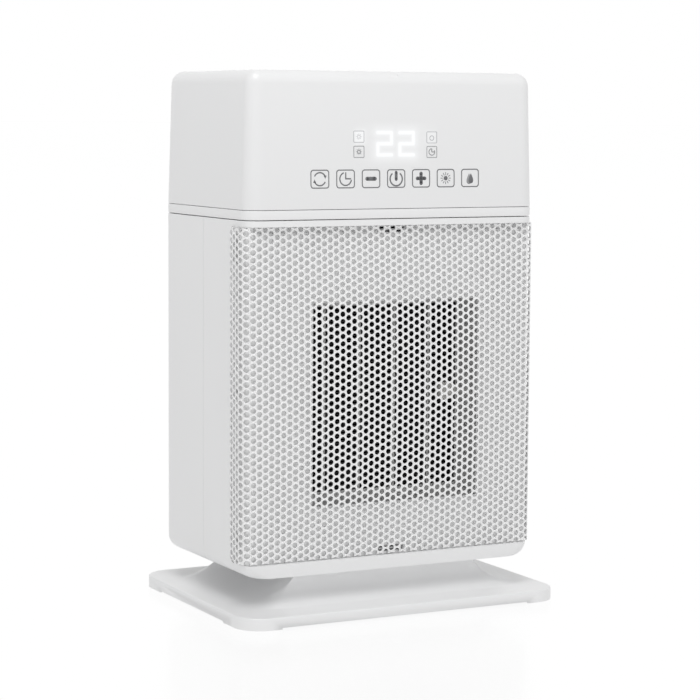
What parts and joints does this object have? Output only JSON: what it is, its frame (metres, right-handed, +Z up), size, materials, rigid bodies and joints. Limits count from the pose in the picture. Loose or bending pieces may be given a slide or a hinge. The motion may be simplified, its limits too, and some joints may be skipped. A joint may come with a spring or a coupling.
{
  "type": "ceramic space heater",
  "caption": "Upright white ceramic fan heater with perforated front grille, touch display head, pull-out water tank and a swivelling rectangular foot.",
  "frame": {"origin": "centre of the base's footprint on the floor", "axes": "+Z up; the front, with the grille and display, faces -Y; +X is to the right of someone who looks at the front"},
  "size_m": [0.2204, 0.164, 0.3325],
  "materials": {
    "cover_white": "smooth satin-gloss white moulding",
    "housing_white": "fine satin white moulding",
    "base_white": "satin-gloss white moulding",
    "shroud_white": "plain heat-resistant white moulding",
    "grille_steel": "white powder coat on perforated sheet",
    "inner_grey": "plain grey moulding",
    "black_plastic": "fine black moulding",
    "tank_smoke": "smoky translucent moulding",
    "rubber": "matt",
    "acetal": "natural acetal",
    "zinc": "zinc plated",
    "fin_aluminium": "plain mill strip",
    "ceramic": "matt fired",
    "board": "green solder mask",
    "filter_mesh": "fine woven mesh"
  },
  "bodies": {
    "base": {"base_shell": "base_white", "base_bottom": "inner_grey", "foot_1": "rubber", "foot_2": "rubber", "foot_3": "rubber", "foot_4": "rubber", "base_screw_1": "zinc", "base_screw_2": "zinc", "base_screw_3": "zinc", "base_screw_4": "zinc", "swivel_bearing": "acetal", "swivel_motor": "zinc"},
    "pinion": {"drive_pinion": "acetal"},
    "heater": {"swivel_hub": "inner_grey", "swivel_gear": "acetal", "retaining_clip": "zinc", "front_housing": "housing_white", "rear_housing": "housing_white", "housing_screw_1": "zinc", "housing_screw_2": "zinc", "housing_screw_3": "zinc", "housing_screw_4": "zinc", "front_grille": "grille_steel", "air_duct": "housing_white", "ptc_frame": "housing_white", "ptc_bar_1": "ceramic", "ptc_bar_2": "ceramic", "ptc_bar_3": "ceramic", "ptc_bar_4": "ceramic", "fin_pack_1": "fin_aluminium", "fin_pack_2": "fin_aluminium", "fin_pack_3": "fin_aluminium", "fin_pack_4": "fin_aluminium", "fin_pack_5": "fin_aluminium", "thermal_fuse": "ceramic", "thermal_cutout": "black_plastic", "fan_shroud": "shroud_white", "fan_motor": "zinc", "mains_switch": "black_plastic", "cord_gland": "black_plastic", "tilt_switch": "black_plastic", "trim_band": "housing_white", "head_tray": "inner_grey", "top_cover": "cover_white", "mist_chamber": "tank_smoke", "mist_transducer": "zinc", "mist_outlet": "housing_white", "display_board": "board", "display_module": "black_plastic", "main_board": "board", "relay": "black_plastic"},
    "fan": {"fan_rotor": "inner_grey", "fan_shaft": "zinc"},
    "intake_cover": {"rear_grille": "housing_white", "dust_filter": "filter_mesh"},
    "rocker": {"switch_rocker": "black_plastic"},
    "tank": {"water_tank": "tank_smoke"},
    "cap": {"tank_cap": "housing_white"}
  },
  "joints": [
    {"name": "swivel", "type": "hinge", "parent": "base", "child": "heater", "pos_m": [0, 0, 0.0246], "axis": [0, 0, 1], "range_deg": [-35, 35]},
    {"name": "pinion_spin", "type": "hinge", "parent": "base", "child": "pinion", "pos_m": [0.042, 0, 0.016], "axis": [0, 0, 1], "range_deg": [-112, 112]},
    {"name": "fan_spin", "type": "hinge", "parent": "heater", "child": "fan", "pos_m": [0.0035, 0, 0.1303], "axis": [0, 1, 0], "continuous": true},
    {"name": "intake_cover_slide", "type": "slide", "parent": "heater", "child": "intake_cover", "axis": [0, 1, 0], "range_m": [0, 0.03]},
    {"name": "rocker_tilt", "type": "hinge", "parent": "heater", "child": "rocker", "pos_m": [0.045, 0.0712, 0.042], "axis": [1, 0, 0], "range_deg": [-16, 0]},
    {"name": "tank_slide", "type": "slide", "parent": "heater", "child": "tank", "axis": [0, 1, 0], "range_m": [0, 0.06]},
    {"name": "cap_turn", "type": "hinge", "parent": "tank", "child": "cap", "pos_m": [0, 0.045, 0.312], "axis": [0, 0, 1], "range_deg": [0, 90]}
  ],
  "couplings": [
    {"joint": "pinion_spin", "follows": "swivel", "ratio": -3.2}
  ]
}
